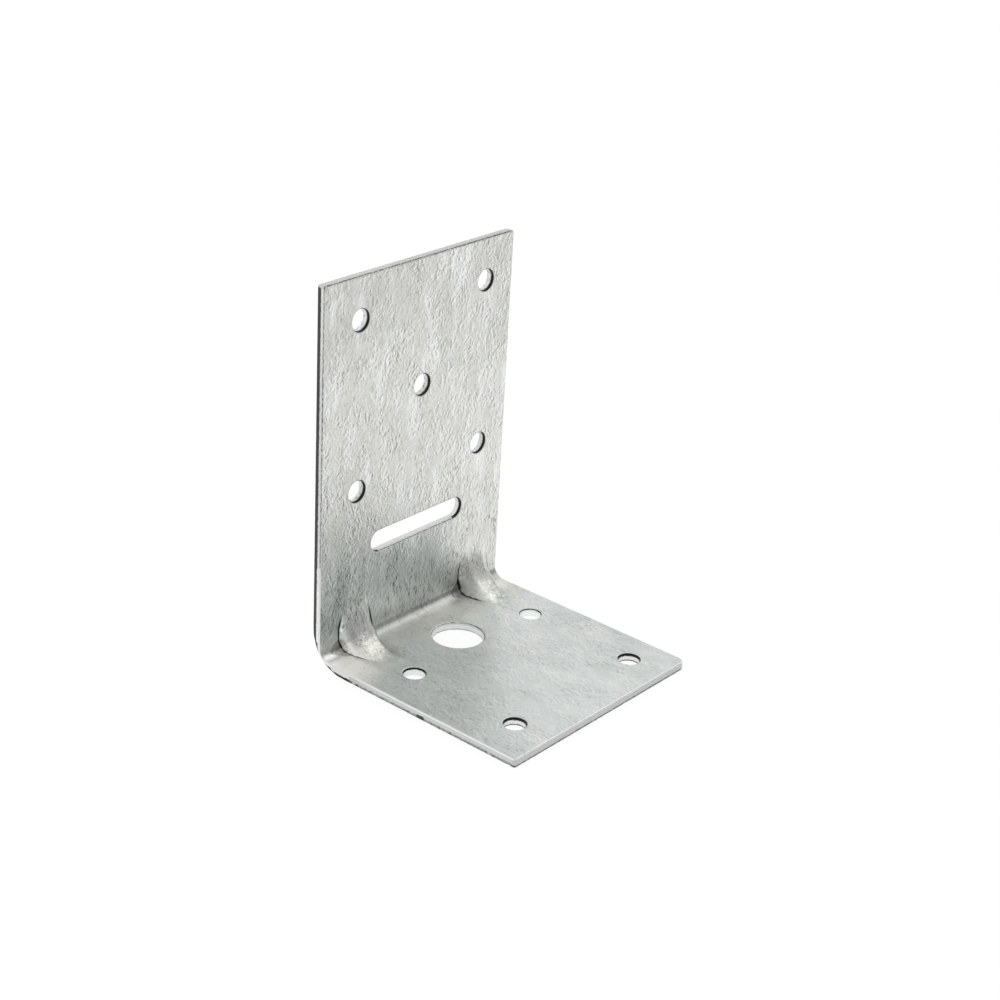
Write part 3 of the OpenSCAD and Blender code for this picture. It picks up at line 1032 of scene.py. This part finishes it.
def zinc_material():
    """Hot-dip zinc coat with cut edges, rubbed places, and painted light and shade at the fold, the ribs
    and their creases, on the blank's own coordinates.
    """
    material = bpy.data.materials.new("zinc_sheet")
    material.use_nodes = True
    shader = material.node_tree.nodes["Principled BSDF"]
    m = Sums(material.node_tree)
    place, x, s, depth = blank_place(m)
    left, right = m.sub(x, columns[0]), m.sub(x, columns[1])
    inner_face = ramp(m, depth, 1.0, 0.6)
    upright = ramp(m, s, -2.0, 6.0)
    broken = noise(m, stretched(m, place, 0.9, 0.9, 0, 71), 3.0, 0.7)
    bloom, tone, low_shade = coat(m, place, x, s, upright, inner_face)
    cut, mouth, wall, torn, burnished = cut_faces(m, depth, broken)
    wear_and_light, strip, corner, between, polish_and_light = wear_and_painted_light(m, place, x, s, left, right)
    crease_shade, pit_shade, gleam = crease_shading(m, s, left, right, broken)
    # The painted pit shade and the painted gleam join the rest, on the inner face only
    wear_and_light = m.mul(m.add(m.sub(wear_and_light, pit_shade), m.mul(gleam, GLEAM_LIFT)), inner_face)

    warm = m.mul(ramp(m, s, 2.0, 0.6), ramp(m, s, -14.0, -5.0))
    lower = blend(m, LOWER_COOL, LOWER_WARM, m.add(0.5, bloom["Tint"]))
    lower = blend(m, lower, LOWER_WORN, m.add(m.mul(warm, 0.7), corner))
    upper = blend(m, UPPER_PLAIN, UPPER_DRIPS, bloom["Shine"])
    upper = blend(m, upper, UPPER_SHADED, low_shade)
    colour = shade(m, blend(m, lower, upper, upright), m.add(tone, wear_and_light))
    # Painted highlight on the rolled mouth
    rolled = m.mul(ramp(m, cut, 0.08, 0.35), m.sub(1.0, wall))
    colour = blend(m, colour, ROLLED_HIGHLIGHT, rolled)
    colour = blend(m, colour, burnished, wall)
    colour = blend(m, colour, TORN_STEEL_AND_SHADOW, torn)
    # Painted shade in the mouths
    colour = blend(m, colour, MOUTH_SHADE, mouth)
    # Painted shade in the creases, on the inner face only
    on_face = m.mul(m.do("GREATER_THAN", 0.1, cut), inner_face)
    colour = blend(m, colour, CREASE_SHADE, m.mul(crease_shade, on_face))

    rough = m.add(ROUGHNESS, m.mul(bloom["Tint"], TINT_ROUGH))
    rough = m.sub(rough, m.mul(bloom["Shine"], DRIP_SMOOTH))
    scuffed = m.mul(between, ramp(m, s, -1.6, -3.0))
    scuffs = m.add(m.mul(corner, CORNER_ROUGH), m.mul(strip, STRIP_ROUGH))
    rough = m.add(rough, m.mul(scuffs, scuffed))
    smoothed = m.add(m.mul(wall, WALL_SMOOTH), m.mul(polish_and_light, CREST_SMOOTH))
    rough = m.add(rough, m.sub(m.mul(torn, TORN_ROUGH), smoothed))
    frosting = m.mul(m.mul(corner, ramp(m, s, -0.8, -3.0)), m.mul(m.mul(between, on_face), CORNER_FROST))
    bump = m.node("ShaderNodeBump")
    bump.inputs["Strength"].default_value = 1.0
    bump.inputs["Distance"].default_value = BUMP_HEIGHT * MM
    m.feed(bump.inputs["Height"], bloom["Height"])
    m.feed(shader.inputs["Base Color"], colour)
    m.feed(shader.inputs["Roughness"], rough)
    m.feed(shader.inputs["Metallic"], m.sub(METALLIC, frosting))
    m.feed(shader.inputs["Normal"], bump.outputs[0])
    return material


def softbox(name, direction, distance, size, watts):
    """A square area lamp that faces the bracket from the given direction."""
    data = bpy.data.lights.new(name, "AREA")
    data.shape = "SQUARE"
    data.size = size
    data.energy = watts
    lamp = bpy.data.objects.new(name, data)
    way = Vector(direction).normalized()
    lamp.location = Vector(KEY_AIM) + way * distance
    lamp.rotation_mode = "QUATERNION"
    lamp.rotation_quaternion = way.to_track_quat("Z", "Y")
    bpy.context.scene.collection.objects.link(lamp)


def studio_world():
    """A pale room: bright behind the bracket and overhead, dimmer low down on the camera's side."""
    world = bpy.data.worlds.new("studio")
    world.use_nodes = True
    m = Sums(world.node_tree)
    way = m.node("ShaderNodeSeparateXYZ")
    m.feed(way.inputs[0], m.node("ShaderNodeTexCoord").outputs["Generated"])
    aside = m.add(m.mul(way.outputs["Z"], ROOM_UP), m.mul(way.outputs["X"], ROOM_SIDE))
    level = ramp(m, m.add(way.outputs["Y"], aside), *ROOM_SPAN, ROOM_FRONT, ROOM_LEVEL)
    background = world.node_tree.nodes["Background"]
    background.inputs["Color"].default_value = (1, 1, 1, 1)
    m.feed(background.inputs["Strength"], level)
    return world


def floor_paint():
    """White paint that shows the camera and the metal a white ground and keeps the soft shadow."""
    paint = bpy.data.materials.new("floor_paint")
    paint.use_nodes = True
    tree = paint.node_tree
    shader = tree.nodes["Principled BSDF"]
    shader.inputs["Base Color"].default_value = FLOOR_PAINT
    shader.inputs["Roughness"].default_value = 0.9
    shader.inputs["Specular IOR Level"].default_value = 0.1
    m = Sums(tree)
    ray = m.node("ShaderNodeLightPath").outputs
    mirrored = m.do("MAXIMUM", ray["Is Glossy Ray"], ray["Is Transmission Ray"])
    seen = m.do("MAXIMUM", ray["Is Camera Ray"], mirrored)
    white = m.node("ShaderNodeEmission")
    white.inputs["Color"].default_value = (1, 1, 1, 1)
    white.inputs["Strength"].default_value = GROUND_GLOW
    mix = m.node("ShaderNodeMixShader")
    m.feed(mix.inputs[0], m.mul(seen, GROUND_WHITE))
    m.feed(mix.inputs[1], shader.outputs[0])
    m.feed(mix.inputs[2], white.outputs[0])
    m.feed(tree.nodes["Material Output"].inputs["Surface"], mix.outputs[0])
    return paint


def studio():
    """Floor, room and key light, all for the picture alone."""
    scene = bpy.context.scene
    scene.view_settings.view_transform = "Standard"
    scene.world = studio_world()
    bpy.ops.mesh.primitive_plane_add(size=FLOOR_SIZE)
    floor = bpy.context.object
    floor.name = "floor"
    floor.data.materials.append(floor_paint())
    softbox("key_softbox", KEY_WAY, KEY_DISTANCE, KEY_SIZE, KEY_WATTS)


def photograph_camera():
    """The camera that fits the outline and the holes of the photographed bracket, in millimetres."""
    azimuth, elevation, roll = math.radians(-50.36), math.radians(25.16), math.radians(3.26)
    focal_pixels = 1993.3
    picture_pixels = 1000
    sensor = 36.0
    aim = Vector((0, 0, UPRIGHT_HEIGHT / 2))
    shift_right, shift_up, distance = 2.41, 3.03, 433.27
    back = Vector((math.sin(azimuth) * math.cos(elevation), -math.cos(azimuth) * math.cos(elevation),
                   math.sin(elevation)))
    right = Vector((math.cos(azimuth), math.sin(azimuth), 0))
    up = back.cross(right)
    tilted_right = right * math.cos(roll) + up * math.sin(roll)
    tilted_up = up * math.cos(roll) - right * math.sin(roll)
    place = aim - tilted_right * shift_right - tilted_up * shift_up + back * distance
    data = bpy.data.cameras.new("camera")
    data.sensor_width = sensor
    data.lens = focal_pixels * sensor / picture_pixels
    data.clip_start = 0.01
    camera = bpy.data.objects.new("camera", data)
    turn = Matrix((tilted_right, tilted_up, back)).transposed()
    camera.matrix_world = Matrix.Translation(place * MM) @ turn.to_4x4()
    bpy.context.scene.collection.objects.link(camera)
    bpy.context.scene.camera = camera


studio()
photograph_camera()
sheet = folded_sheet(zinc_material())
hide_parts("bracket")
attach(sheet, "root")
